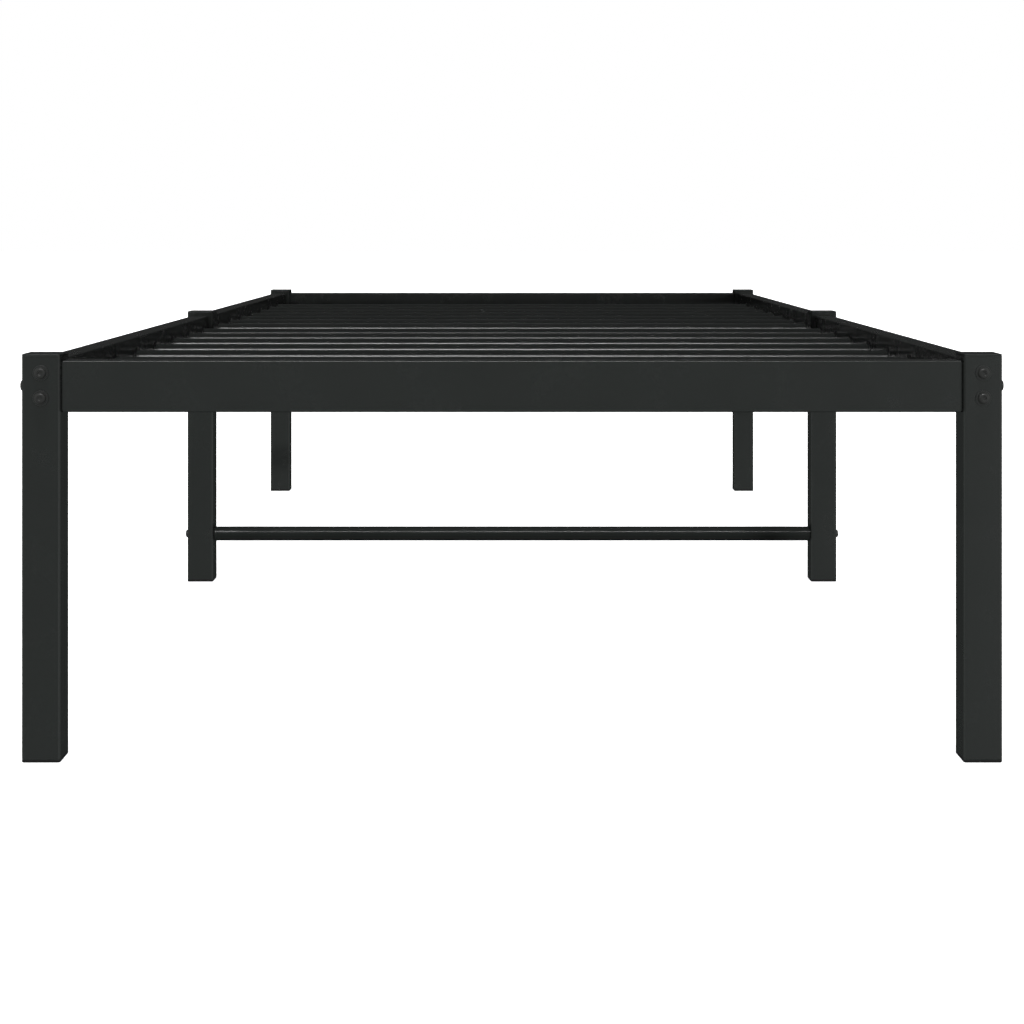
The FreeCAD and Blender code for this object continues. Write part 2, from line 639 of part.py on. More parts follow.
side_bolt_spots = []
side_washer_spots = []
side_nut_spots = []
end_bolt_spots = []
end_washer_spots = []
end_nut_spots = []
crossbar_bolt_spots = []
crossbar_washer_spots = []
lock_bolt_spots = []
lock_nut_spots = []
for side in (-1, 1):
    out = turned((side, 0, 0))
    head_x = signed(side, f"({LEG_OUTER_X} + dims.washer_thickness)")
    washer_x = signed(side, LEG_OUTER_X)
    crossbar_bolt_spots.append((head_x, MIDDLE_LEG_Y, "dims.crossbar_height", out))
    crossbar_washer_spots.append((washer_x, MIDDLE_LEG_Y, "dims.crossbar_height", out))
    for end in (-1, 1):
        end_y = signed(end, END_LEG_Y)
        end_bolt_spots.append((head_x, end_y, RAIL_Z, out))
        end_washer_spots.append((washer_x, end_y, RAIL_Z, out))
        nut_x = signed(side, f"({LEG_INNER_X} - dims.plate_thickness)")
        end_nut_spots.append((nut_x, end_y, RAIL_Z, turned((-side, 0, 0))))

        rail_x = signed(side, LEG_X)
        head_y = signed(end, f"({LEG_END_Y} + dims.washer_thickness)")
        washer_y = signed(end, LEG_END_Y)
        nut_y = signed(end, f"({LEG_FACE_Y} - dims.plate_thickness)")
        for row in (1, -1):
            height = f"({SIDE_BOLTS_Z} + {row} * dims.bolt_spacing / 2)"
            side_bolt_spots.append((rail_x, head_y, height, turned((0, end, 0))))
            side_washer_spots.append((rail_x, washer_y, height, turned((0, end, 0))))
            side_nut_spots.append((rail_x, nut_y, height, turned((0, -end, 0))))

        lock_y = beyond(end, MIDDLE_LEG_Y, f"dims.leg_size / 2 + {LOCK_BOLT_Y}")
        rail_bottom = f"({RAIL_Z} - dims.rail_depth / 2)"
        lock_bolt_spots.append((rail_x, lock_y, rail_bottom, turned((0, 0, -1))))
        lock_nut_spots.append((rail_x, lock_y, LOCK_NUT_Z, None))

repeat("side_rail_bolts", corner_bolt, side_bolt_spots)
repeat("end_rail_bolts", corner_bolt, end_bolt_spots)
repeat("crossbar_bolts", crossbar_bolt, crossbar_bolt_spots)
repeat("half_rail_lock_bolts", lock_bolt, lock_bolt_spots)
repeat("side_rail_washers", washer, side_washer_spots)
repeat("end_rail_washers", washer, end_washer_spots)
repeat("crossbar_washers", washer, crossbar_washer_spots)
repeat("side_rail_weld_nuts", weld_nut, side_nut_spots)
repeat("end_rail_weld_nuts", weld_nut, end_nut_spots)
repeat("half_rail_lock_nuts", weld_nut, lock_nut_spots)

# ---------------------------------------------------------------- check and write

doc.recompute()
for item in doc.Objects:
    if "Invalid" in item.State or "Error" in item.State:
        raise RuntimeError(f"{item.Label} failed: {item.State}")
for part in parts:
    if part.Shape.isNull() or not part.Shape.isValid():
        raise RuntimeError(f"{part.Label} has no valid shape")

os.makedirs("parts", exist_ok=True)
for part in parts:
    part.Shape.exportStep(f"parts/{part.Label}.step")
print(f"{len(parts)} parts written")
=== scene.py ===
import math

import bmesh
import bpy
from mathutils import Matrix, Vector


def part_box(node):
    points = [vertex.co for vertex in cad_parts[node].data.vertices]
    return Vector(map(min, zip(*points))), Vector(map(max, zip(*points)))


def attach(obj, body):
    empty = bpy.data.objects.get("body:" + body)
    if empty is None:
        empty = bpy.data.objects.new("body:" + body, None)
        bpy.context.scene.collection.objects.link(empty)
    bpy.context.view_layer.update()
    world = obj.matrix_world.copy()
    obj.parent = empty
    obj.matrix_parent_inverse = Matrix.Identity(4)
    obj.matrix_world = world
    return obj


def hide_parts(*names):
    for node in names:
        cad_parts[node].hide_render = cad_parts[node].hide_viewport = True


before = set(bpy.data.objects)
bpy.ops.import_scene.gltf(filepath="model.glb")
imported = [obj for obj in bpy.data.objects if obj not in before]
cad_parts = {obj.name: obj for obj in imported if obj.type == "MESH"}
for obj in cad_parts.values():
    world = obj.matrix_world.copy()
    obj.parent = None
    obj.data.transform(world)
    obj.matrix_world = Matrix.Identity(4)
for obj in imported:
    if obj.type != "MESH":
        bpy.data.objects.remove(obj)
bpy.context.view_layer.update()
MM = 0.001

# ---------------------------------------------------------------- the eye
# A level view along the bed from beyond its foot end, a little above the rails, with a long
# lens. The lens is shifted and not tilted, so that the legs stay upright.

EYE_HEIGHT = 523.6 * MM
EYE_BEFORE_FOOT_END = 1959 * MM
LENS_MM = 70.4
SHIFT_DOWN = 0.2777

foot_end_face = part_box("front_left_leg")[0].y
lens = bpy.data.cameras.new("eye")
lens.lens = LENS_MM
lens.sensor_width = 36
lens.shift_y = -SHIFT_DOWN
lens.clip_start = 0.05
lens.clip_end = 100
eye = bpy.data.objects.new("eye", lens)
eye.location = (0, foot_end_face - EYE_BEFORE_FOOT_END, EYE_HEIGHT)
eye.rotation_euler = (math.radians(90), 0, 0)
bpy.context.scene.collection.objects.link(eye)
bpy.context.scene.camera = eye

# ---------------------------------------------------------------- legs
# Six square tubes of drawn mild steel, sawn to length and coated with black polyester powder,
# which is sprayed on dry and baked. It flows into a smooth satin skin with a very slight
# orange peel, and rounds the tube's corners a little more than the bare steel's.

LEG_CORNER = 2.5 * MM
LEG_WALL = 1.5 * MM
SAWN_EDGE = 0.35 * MM
COAT_DARK = "#212322"
COAT_LIGHT = "#232524"
COAT_ROUGHNESS = 0.25
PEEL_SPACING = 2.2 * MM
PEEL_DEPTH = 0.007 * MM
# A real powder grain is about 0.1 mm, too fine to show, so it is drawn five times as coarse.
GRAIN_SPACING = 0.5 * MM
GRAIN_DEPTH = 0.005 * MM
MOTTLE_SPACING = 60 * MM
COAT_IOR = 1.5
SMOOTH_BELOW = 40
LEAST_CORNER = 0.2 * MM
SAME_POINT = 1e-7


def linear(colour):
    """An sRGB hex colour as linear red, green, blue and alpha."""
    channels = []
    for start in (1, 3, 5):
        value = int(colour[start:start + 2], 16) / 255
        channels.append(value / 12.92 if value <= 0.04045 else ((value + 0.055) / 1.055) ** 2.4)
    return (*channels, 1.0)


def add_node(tree, kind, settings=None, inputs=None):
    """Adds a node, sets its properties, and sets or links its inputs by name or number."""
    node = tree.nodes.new(kind)
    for name, value in (settings or {}).items():
        setattr(node, name, value)
    for name, value in (inputs or {}).items():
        if isinstance(value, bpy.types.NodeSocket):
            tree.links.new(value, node.inputs[name])
        else:
            node.inputs[name].default_value = value
    return node


def new_material(name):
    """An empty node material and its tree."""
    material = bpy.data.materials.new(name)
    material.use_nodes = True
    material.node_tree.nodes.clear()
    return material, material.node_tree


def polyester_powder_coat(name, dark, light, roughness):
    """Baked satin powder: a dielectric film over a near-black pigment, IOR 1.5. A long soft
    orange peel bends the highlights, and a fine grain and slow mottling vary their gloss."""
    material, tree = new_material(name)
    place = add_node(tree, "ShaderNodeTexCoord").outputs["Object"]
    peel = add_node(tree, "ShaderNodeTexNoise", inputs={
        "Vector": place, "Scale": 1 / PEEL_SPACING, "Detail": 1.5, "Roughness": 0.45})
    grain = add_node(tree, "ShaderNodeTexNoise", inputs={
        "Vector": place, "Scale": 1 / GRAIN_SPACING, "Detail": 2.0, "Roughness": 0.6})
    mottle = add_node(tree, "ShaderNodeTexNoise", inputs={
        "Vector": place, "Scale": 1 / MOTTLE_SPACING, "Detail": 3.0, "Roughness": 0.55})
    colour = add_node(tree, "ShaderNodeMix", {"data_type": "RGBA"}, {
        0: mottle.outputs["Fac"], 6: linear(dark), 7: linear(light)})
    uneven = add_node(tree, "ShaderNodeMath", {"operation": "MULTIPLY_ADD"}, {
        0: grain.outputs["Fac"], 1: 0.5, 2: mottle.outputs["Fac"]})
    gloss = add_node(tree, "ShaderNodeMapRange", inputs={
        "Value": uneven.outputs[0], "From Min": 0.4, "From Max": 1.1,
        "To Min": roughness - 0.04, "To Max": roughness + 0.05})
    waves = add_node(tree, "ShaderNodeBump", inputs={
        "Height": peel.outputs["Fac"], "Strength": 0.30, "Distance": PEEL_DEPTH})
    skin = add_node(tree, "ShaderNodeBump", inputs={
        "Height": grain.outputs["Fac"], "Strength": 0.12, "Distance": GRAIN_DEPTH,
        "Normal": waves.outputs["Normal"]})
    coat = add_node(tree, "ShaderNodeBsdfPrincipled", inputs={
        "Base Color": colour.outputs[2], "Roughness": gloss.outputs["Result"],
        "Normal": skin.outputs["Normal"], "IOR": COAT_IOR, "Specular IOR Level": 0.5})
    add_node(tree, "ShaderNodeOutputMaterial", inputs={"Surface": coat.outputs["BSDF"]})
    return material


def rounded_rectangle(width, depth, radius, arc_steps=5):
    """Points round a rectangle with rounded corners, anticlockwise."""
    points = []
    corners = ((1, 1, 0), (-1, 1, 90), (-1, -1, 180), (1, -1, 270))
    for across, up, start in corners:
        centre = Vector((across * (width / 2 - radius), up * (depth / 2 - radius)))
        for step in range(arc_steps + 1):
            turn = math.radians(start + 90 * step / arc_steps)
            points.append(centre + radius * Vector((math.cos(turn), math.sin(turn))))
    return points


def rectangle_section(width, depth, radius):
    """A function that gives the rectangle's outline, moved in by an inset."""
    def outline(inset):
        corner = max(radius - inset, LEAST_CORNER)
        return rounded_rectangle(width - 2 * inset, depth - 2 * inset, corner)
    return outline


def add_skin(mesh, rings, loop=False, fill_first=False, fill_last=False):
    """Faces between rings of equally many 3-D points. A loop joins the last to the first."""
    rows = [[mesh.verts.new(point) for point in ring] for ring in rings]
    pairs = list(zip(rows, rows[1:]))
    if loop:
        pairs.append((rows[-1], rows[0]))
    for lower, upper in pairs:
        count = len(lower)
        for index in range(count):
            following = (index + 1) % count
            mesh.faces.new((lower[index], lower[following], upper[following], upper[index]))
    if fill_first:
        mesh.faces.new(list(reversed(rows[0])))
    if fill_last:
        mesh.faces.new(rows[-1])


def along(axis, centre):
    """Turns a flat outline and a place along an axis into points of the model."""
    def lift(outline, place):
        ring = []
        for point in outline:
            flat = {"X": (0, point.x, point.y), "Y": (point.x, 0, point.y),
                    "Z": (point.x, point.y, 0)}[axis]
            spot = Vector(flat) + centre
            spot["XYZ".index(axis)] = place
            ring.append(spot)
        return ring
    return lift


def evaluated_mesh(piece):
    """A piece's mesh with its modifiers applied."""
    bpy.context.view_layer.update()
    graph = bpy.context.evaluated_depsgraph_get()
    return bpy.data.meshes.new_from_object(
        piece.evaluated_get(graph), preserve_all_data_layers=True, depsgraph=graph)


def finish_piece(name, mesh, material, smooth_below=SMOOTH_BELOW):
    """Makes the object from a bmesh: normals outwards, smooth shading up to an angle, and
    normals weighted by area, so that the flats stay flat beside their rounded edges."""
    bmesh.ops.remove_doubles(mesh, verts=mesh.verts, dist=SAME_POINT)
    bmesh.ops.recalc_face_normals(mesh, faces=mesh.faces)
    data = bpy.data.meshes.new(name)
    mesh.to_mesh(data)
    mesh.free()
    data.shade_smooth()
    data.set_sharp_from_angle(angle=math.radians(smooth_below))
    data.materials.clear()
    data.materials.append(material)
    piece = bpy.data.objects.new(name, data)
    bpy.context.scene.collection.objects.link(piece)
    weigh = piece.modifiers.new("weigh", "WEIGHTED_NORMAL")
    weigh.mode = "FACE_AREA"
    weigh.keep_sharp = True
    piece.data = evaluated_mesh(piece)
    piece.modifiers.remove(weigh)
    bpy.data.meshes.remove(data)
    piece.data.name = name
    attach(piece, "root")
    return piece


def make_tube(node, axis, section, wall, material):
    """A tube in the place of a CAD node, with its sawn ends' edges broken."""
    low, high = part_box(node)
    lift = along(axis, (low + high) / 2)
    start = low["XYZ".index(axis)]
    end = high["XYZ".index(axis)]
    mesh = bmesh.new()
    rings = [
        lift(section(SAWN_EDGE), start),
        lift(section(SAWN_EDGE * 0.3), start + SAWN_EDGE * 0.3),
        lift(section(0), start + SAWN_EDGE),
        lift(section(0), end - SAWN_EDGE),
        lift(section(SAWN_EDGE * 0.3), end - SAWN_EDGE * 0.3),
        lift(section(SAWN_EDGE), end),
        lift(section(wall), end),
        lift(section(wall), start),
    ]
    add_skin(mesh, rings, loop=True)
    piece = finish_piece(f"{node}_tube", mesh, material)
    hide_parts(node)
    return piece


black_powder_coat = polyester_powder_coat(
    "satin_black_powder_coat", COAT_DARK, COAT_LIGHT, COAT_ROUGHNESS)
LEG_NAMES = [
    f"{end}_{side}" for end in ("front", "middle", "rear") for side in ("left", "right")]

leg_low, leg_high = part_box("front_left_leg")
LEG_SIZE = leg_high.x - leg_low.x
leg_section = rectangle_section(LEG_SIZE, LEG_SIZE, LEG_CORNER)
for name in LEG_NAMES:
    make_tube(f"{name}_leg", "Z", leg_section, LEG_WALL, black_powder_coat)

# ---------------------------------------------------------------- leg caps and foot glides
# Injection moulded black polyethylene. A cap's flat head covers the leg's top, flush with its
# sides, and a glide's thicker head is the foot. Both have a hollow plug inside the tube.

CAP_EDGE = 1.0 * MM
SEAM_EDGE = 0.3 * MM
GLIDE_EDGE = 1.0 * MM
PLUG_INSET = 1.7 * MM
PLUG_WALL = 1.8 * MM
PLUG_LEAD_IN = 1.2 * MM
PLUG_TAPER = 0.4 * MM
HEAD_DISH = 0.2 * MM
# A spark-eroded grain is about 0.2 mm, too fine to show, so it is drawn coarser.
MOULD_GRAIN = 0.7 * MM
GRAIN_HEIGHT = 0.03 * MM
RUB_SPACING = 14 * MM
PLASTIC_IOR = 1.5


def moulded_polyethylene(name, dark, light, roughness):
    """Spark-eroded mould texture on a waxy plastic: IOR 1.5, dull, with a fine even grain and
    faint lighter rub marks where it has slid in its packing."""
    material, tree = new_material(name)
    place = add_node(tree, "ShaderNodeTexCoord").outputs["Object"]
    grain = add_node(tree, "ShaderNodeTexNoise", inputs={
        "Vector": place, "Scale": 1 / MOULD_GRAIN, "Detail": 3.0, "Roughness": 0.65})
    rubs = add_node(tree, "ShaderNodeTexNoise", inputs={
        "Vector": place, "Scale": 1 / RUB_SPACING, "Detail": 2.0, "Roughness": 0.5})
    colour = add_node(tree, "ShaderNodeMix", {"data_type": "RGBA"}, {
        0: rubs.outputs["Fac"], 6: linear(dark), 7: linear(light)})
    gloss = add_node(tree, "ShaderNodeMapRange", inputs={
        "Value": grain.outputs["Fac"], "From Min": 0.3, "From Max": 0.7,
        "To Min": roughness - 0.04, "To Max": roughness + 0.06})
    bump = add_node(tree, "ShaderNodeBump", inputs={
        "Height": grain.outputs["Fac"], "Strength": 0.25, "Distance": GRAIN_HEIGHT})
    plastic = add_node(tree, "ShaderNodeBsdfPrincipled", inputs={
        "Base Color": colour.outputs[2], "Roughness": gloss.outputs["Result"],
        "Normal": bump.outputs["Normal"], "IOR": PLASTIC_IOR})
    add_node(tree, "ShaderNodeOutputMaterial", inputs={"Surface": plastic.outputs["BSDF"]})
    return material


def rounded_rim(section, lift, face, inwards, radius, steps=5):
    """Rings from an outline's side over a quarter round to its face. inwards is +1 or -1."""
    rings = []
    for step in range(steps + 1):
        turn = math.radians(90 * step / steps)
        inset = radius * (1 - math.cos(turn))
        rings.append(lift(section(inset), face + inwards * radius * (1 - math.sin(turn))))
    return rings


def make_plug(name, node, seat, is_cap, edge, material):
    """A cap or glide in its CAD node's place. seat is the height where its head meets the
    tube. The head's outer face has a rounded rim, and the plug is a hollow square."""
    low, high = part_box(node)
    lift = along("Z", (low + high) / 2)
    mesh = bmesh.new()
    outer_face, plug_end, out = (high.z, low.z, 1) if is_cap else (low.z, high.z, -1)
    rings = [
        lift(leg_section(PLUG_INSET + PLUG_WALL), seat + out * HEAD_DISH),
        lift(leg_section(PLUG_INSET + PLUG_WALL), plug_end),
        lift(leg_section(PLUG_INSET + PLUG_TAPER), plug_end),
        lift(leg_section(PLUG_INSET), plug_end + out * PLUG_LEAD_IN),
        lift(leg_section(PLUG_INSET), seat),
        lift(leg_section(SEAM_EDGE), seat),
        lift(leg_section(0), seat + out * SEAM_EDGE),
    ]
    rings += rounded_rim(leg_section, lift, outer_face, -out, edge)
    add_skin(mesh, rings, fill_first=True, fill_last=True)
    piece = finish_piece(name, mesh, material)
    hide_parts(node)
    return piece


cap_plastic = moulded_polyethylene(
    "moulded_black_polyethylene_cap", "#1f2120", "#212322", 0.32)
glide_plastic = moulded_polyethylene(
    "moulded_black_polyethylene_glide", "#121313", "#181818", 0.5)
for name in LEG_NAMES:
    tube_low, tube_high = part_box(f"{name}_leg")
    make_plug(f"{name}_cap", f"{name}_leg_cap", tube_high.z, True, CAP_EDGE,
              cap_plastic)
    make_plug(f"{name}_glide", f"{name}_foot_glide", tube_low.z, False, GLIDE_EDGE,
              glide_plastic)

# ---------------------------------------------------------------- rails
# Rectangular tube in the same black powder coat: one length across each end, and two halves
# down each side that slide over sleeves on the middle leg. A plate is welded in each end.

RAIL_CORNER = 1.6 * MM
RAIL_WALL = 1.5 * MM

rail_low, rail_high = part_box("front_end_rail")
RAIL_WIDTH = rail_high.y - rail_low.y
RAIL_DEPTH = rail_high.z - rail_low.z
rail_section = rectangle_section(RAIL_WIDTH, RAIL_DEPTH, RAIL_CORNER)
for end in ("front", "rear"):
    make_tube(f"{end}_end_rail", "X", rail_section, RAIL_WALL, black_powder_coat)
    for side in ("left", "right"):
        node = f"{end}_side_rail_{side}"
        make_tube(node, "Y", rail_section, RAIL_WALL, black_powder_coat)

# ---------------------------------------------------------------- slats
# Round steel tube, cut square and powder coated like the rails, seven in each half of the bed.
# One row is a wall section swept round a circle and repeated at the slats' pitch.

SLAT_WALL = 1.2 * MM
SLAT_EDGE = 0.3 * MM
SLAT_SIDES = 72


def new_geometry_tree(name, inputs):
    """A geometry node group with named inputs, each a name, kind and default."""
    tree = bpy.data.node_groups.new(name, "GeometryNodeTree")
    tree.interface.new_socket("Geometry", in_out="OUTPUT", socket_type="NodeSocketGeometry")
    tree.interface.new_socket("Geometry", in_out="INPUT", socket_type="NodeSocketGeometry")
    for label, kind, default in inputs:
        socket = tree.interface.new_socket(label, in_out="INPUT", socket_type=kind)
        if default is not None:
            socket.default_value = default
    return tree, add_node(tree, "NodeGroupInput").outputs


def end_tree(tree, geometry, material):
    """Every tree ends in plain mesh with one material, as the export needs."""
    real = add_node(tree, "GeometryNodeRealizeInstances", inputs={"Geometry": geometry})
    done = add_node(tree, "GeometryNodeSetMaterial", inputs={
        "Geometry": real.outputs["Geometry"], "Material": material})
    add_node(tree, "NodeGroupOutput", inputs={"Geometry": done.outputs["Geometry"]})


def slat_row_tree():
    """A row of tubes along X, one at each step of the pitch along Y."""
    tree, given = new_geometry_tree("slat_row", [
        ("Count", "NodeSocketInt", 7), ("First", "NodeSocketVector", None),
        ("Pitch", "NodeSocketFloat", 0.1), ("Length", "NodeSocketFloat", 1.0),
        ("Radius", "NodeSocketFloat", 0.01), ("Wall", "NodeSocketFloat", 0.001),
        ("Finish", "NodeSocketMaterial", None)])
    middle = add_node(tree, "ShaderNodeMath", {"operation": "MULTIPLY_ADD"}, {
        0: given["Wall"], 1: -0.5, 2: given["Radius"]})
    round_path = add_node(tree, "GeometryNodeCurvePrimitiveCircle", inputs={
        "Resolution": SLAT_SIDES, "Radius": middle.outputs[0]})
    wall_section = add_node(tree, "GeometryNodeCurvePrimitiveQuadrilateral", inputs={
        "Width": given["Wall"], "Height": given["Length"]})
    eased = add_node(tree, "GeometryNodeFilletCurve", {"mode": "POLY"}, {
        "Curve": wall_section.outputs["Curve"], "Count": 2, "Radius": SLAT_EDGE})
    tube = add_node(tree, "GeometryNodeCurveToMesh", inputs={
        "Curve": round_path.outputs["Curve"], "Profile Curve": eased.outputs["Curve"]})
    crosswise = add_node(tree, "GeometryNodeTransform", inputs={
        "Geometry": tube.outputs["Mesh"], "Rotation": (0, math.radians(90), 0)})
    step = add_node(tree, "ShaderNodeCombineXYZ", inputs={"Y": given["Pitch"]})
    row = add_node(tree, "GeometryNodeMeshLine", inputs={
        "Count": given["Count"], "Start Location": given["First"],
        "Offset": step.outputs["Vector"]})
    slats = add_node(tree, "GeometryNodeInstanceOnPoints", inputs={
        "Points": row.outputs["Mesh"], "Instance": crosswise.outputs["Geometry"]})
    end_tree(tree, slats.outputs["Instances"], given["Finish"])
    return tree


def evaluate_tree(name, tree, values, source=None, smooth_below=SMOOTH_BELOW):
    """Runs a tree on an object with its inputs set, and keeps the result as a plain mesh."""
    carrier = bpy.data.objects.new(name, source or bpy.data.meshes.new(name))
    bpy.context.scene.collection.objects.link(carrier)
    modifier = carrier.modifiers.new("make", "NODES")
    modifier.node_group = tree
    for item in tree.interface.items_tree:
        if item.in_out == "INPUT" and item.name in values:
            modifier[item.identifier] = values[item.name]
    carrier.update_tag()
    result = evaluated_mesh(carrier)
    carrier.modifiers.remove(modifier)
    bpy.data.objects.remove(carrier)
    mesh = bmesh.new()
    mesh.from_mesh(result)
    bpy.data.meshes.remove(result)
    return finish_piece(name, mesh, values["Finish"], smooth_below)


slat_coat = polyester_powder_coat("satin_black_powder_coat_slats", "#1f2120", "#212322", 0.23)
slat_tree = slat_row_tree()
slat_low, slat_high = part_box("slat_01")
SLAT_RADIUS = (slat_high.z - slat_low.z) / 2
ROWS = {"front": range(1, 8), "rear": range(8, 15)}
for end, numbers in ROWS.items():
    nodes = [f"slat_{number:02d}" for number in numbers]
    first = sum(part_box(nodes[0]), Vector()) / 2
    second = sum(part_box(nodes[1]), Vector()) / 2
    row = evaluate_tree(f"{end}_slats", slat_tree, {
        "Count": len(nodes), "First": first, "Pitch": second.y - first.y,
        "Length": slat_high.x - slat_low.x, "Radius": SLAT_RADIUS, "Wall": SLAT_WALL,
        "Finish": slat_coat})
    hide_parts(*nodes)

# ---------------------------------------------------------------- slat bushes
# Moulded black nylon cups, one for each slat end, pressed into the side rails' inner walls.
# A thin flange with a rounded rim lies on the rail, round the slat.

BUSH_RIM = 0.5 * MM
BUSH_FIT = 0.15 * MM
BUSH_WALL = 1.5 * MM
BUSH_REACH = 14 * MM
BUSH_MOUTH_EDGE = 0.3 * MM
BUSH_LEAD_IN = 0.5 * MM
BUSH_SIDES = 48


def circle(radius, sides):
    """Points round a circle, anticlockwise."""
    points = []
    for index in range(sides):
        turn = 2 * math.pi * index / sides
        points.append(radius * Vector((math.cos(turn), math.sin(turn))))
    return points


def lathe(mesh, profile, sides, fill_first=False, fill_last=False, loop=False):
    """Turns a profile of (radius, height) about the Z axis."""
    lift = along("Z", Vector())
    rings = [lift(circle(radius, sides), height) for radius, height in profile]
    add_skin(mesh, rings, loop, fill_first, fill_last)


def placing_tree():
    """Copies a piece to each point, its +Z along the point's facing, at a chance turn."""
    tree, given = new_geometry_tree("place_on_seats", [
        ("Piece", "NodeSocketObject", None), ("Seed", "NodeSocketInt", 0),
        ("Finish", "NodeSocketMaterial", None)])
    facing = add_node(tree, "GeometryNodeInputNamedAttribute", {"data_type": "FLOAT_VECTOR"}, {
        "Name": "facing"})
    upright = add_node(tree, "FunctionNodeAlignRotationToVector", {"axis": "Z"}, {
        "Vector": facing.outputs["Attribute"]})
    chance = add_node(tree, "FunctionNodeRandomValue", {"data_type": "FLOAT"}, {
        2: 0.0, 3: 2 * math.pi, "Seed": given["Seed"]})
    spin = add_node(tree, "FunctionNodeAxisAngleToRotation", inputs={
        "Axis": (0, 0, 1), "Angle": chance.outputs[1]})
    turned = add_node(tree, "FunctionNodeRotateRotation", {"rotation_space": "LOCAL"}, {
        "Rotation": upright.outputs["Rotation"], "Rotate By": spin.outputs["Rotation"]})
    piece = add_node(tree, "GeometryNodeObjectInfo", inputs={"Object": given["Piece"]})
    copies = add_node(tree, "GeometryNodeInstanceOnPoints", inputs={
        "Points": given["Geometry"], "Instance": piece.outputs["Geometry"],
        "Rotation": turned.outputs["Rotation"]})
    end_tree(tree, copies.outputs["Instances"], given["Finish"])
    return tree


def place_copies(name, pattern, seats, material, seed, smooth_below=SMOOTH_BELOW):
    """One piece with a copy of a bmesh pattern on each seat: (place, facing)."""
    data = bpy.data.meshes.new(f"{name}_pattern")
    bmesh.ops.recalc_face_normals(pattern, faces=pattern.faces)
    pattern.to_mesh(data)
    pattern.free()
    sample = bpy.data.objects.new(f"{name}_pattern", data)
    bpy.context.scene.collection.objects.link(sample)
    points = bpy.data.meshes.new(f"{name}_seats")
    points.from_pydata([place for place, facing in seats], [], [])
    attribute = points.attributes.new("facing", "FLOAT_VECTOR", "POINT")
    for index, (place, facing) in enumerate(seats):
        attribute.data[index].vector = facing
    values = {"Piece": sample, "Seed": seed, "Finish": material}
    piece = evaluate_tree(name, seat_tree, values, points, smooth_below)
    bpy.data.objects.remove(sample)
    return piece


seat_tree = placing_tree()
nylon = moulded_polyethylene("moulded_black_nylon", "#0d0d0e", "#121213", 0.42)

bush_low, bush_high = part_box("front_slat_bushes_left")
BUSH_LIP = (bush_high.x - bush_low.x) - BUSH_REACH
FLANGE_RADIUS = (bush_high.z - bush_low.z) / 2
bush_bore = SLAT_RADIUS + BUSH_FIT
bush_outer = bush_bore + BUSH_WALL
for end, numbers in ROWS.items():
    for side, inwards in (("left", 1), ("right", -1)):
        node = f"{end}_slat_bushes_{side}"
        low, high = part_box(node)
        mouth = high.x if inwards > 0 else low.x
        rail_face = mouth - inwards * BUSH_LIP
        seats = []
        for number in numbers:
            slat_middle = sum(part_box(f"slat_{number:02d}"), Vector()) / 2
            seats.append(((rail_face, slat_middle.y, slat_middle.z), (inwards, 0, 0)))
        bush = bmesh.new()
        lathe(bush, [
            (bush_bore, -BUSH_REACH + BUSH_WALL),
            (bush_bore, BUSH_LIP - BUSH_MOUTH_EDGE),
            (bush_bore + BUSH_MOUTH_EDGE, BUSH_LIP),
            (FLANGE_RADIUS - BUSH_RIM, BUSH_LIP),
            (FLANGE_RADIUS - BUSH_RIM * 0.3, BUSH_LIP - BUSH_RIM * 0.3),
            (FLANGE_RADIUS, BUSH_LIP - BUSH_RIM),
            (FLANGE_RADIUS, 0),
            (bush_outer, 0),
            (bush_outer, -BUSH_REACH + BUSH_LEAD_IN),
            (bush_outer - BUSH_LEAD_IN, -BUSH_REACH),
        ], BUSH_SIDES, fill_first=True, fill_last=True)
        bushes = place_copies(f"{node}_moulded", bush, seats, nylon, 1)
        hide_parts(node)

# ---------------------------------------------------------------- middle crossbar
# One round steel tube that ties the two middle legs near the floor. It butts against their
# inner faces, and a bolt through each leg draws it tight. Its coat is a little glossier, and
# its colour is painted darker than the frame's, as painted shade where it lies under the bed.

CROSSBAR_WALL = 1.5 * MM
bar_low, bar_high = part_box("middle_crossbar")
BAR_RADIUS = (bar_high.z - bar_low.z) / 2


def bar_section(inset):
    """The bar's outline, moved in by an inset."""
    return circle(BAR_RADIUS - inset, SLAT_SIDES)


# Painted shade: the frame's coat in a darker colour, standing in for the shade under the bed.
crossbar_coat_painted_darker = polyester_powder_coat(
    "crossbar_black_powder_coat", "#161817", "#1a1c1b", 0.22)
make_tube("middle_crossbar", "X", bar_section, CROSSBAR_WALL, crossbar_coat_painted_darker)

# ---------------------------------------------------------------- bolts and washers
# M6 button head bolts, cold headed with a 4 mm hexagon socket, and stamped flat washers, all
# electro-plated black. Each bolt stopped turning where it was tight, so no two sockets match.

HEAD_RADIUS = 5.8 * MM
HEAD_HEIGHT = 3.4 * MM
HEAD_LAND = 0.9 * MM
SOCKET_FLATS = 4.1 * MM
SOCKET_DEPTH = 2.0 * MM
SHANK_RADIUS = 3.0 * MM
WASHER_RADIUS = 7.6 * MM
WASHER_HOLE = 3.25 * MM
WASHER_THICKNESS = 1.6 * MM
WASHER_EDGE = 0.35 * MM
WASHER_HOLE_EDGE = 0.2 * MM
SHANK_CHAMFER = 0.8 * MM
HEAD_RIM_HEIGHT = 0.7 * MM
HEAD_UNDERCUT = 0.2 * MM
SOCKET_MOUTH = 0.25 * MM
SOCKET_CHAMFER = 0.3 * MM
DRILL_POINT = 0.5 * MM
DRILL_TIP = 0.3 * MM
DOME_STEPS = 9
HEX_SIDES = 48
BOLT_SMOOTH_BELOW = 30
# Crystals of the chromate are under 0.1 mm, too fine to show, so they are drawn coarser.
FLECK_SPACING = 0.6 * MM
FLECK_DEPTH = 0.02 * MM
CORNER_SHANK = 50 * MM
CROSSBAR_SHANK = 54.6 * MM
LOCK_SHANK = 10 * MM


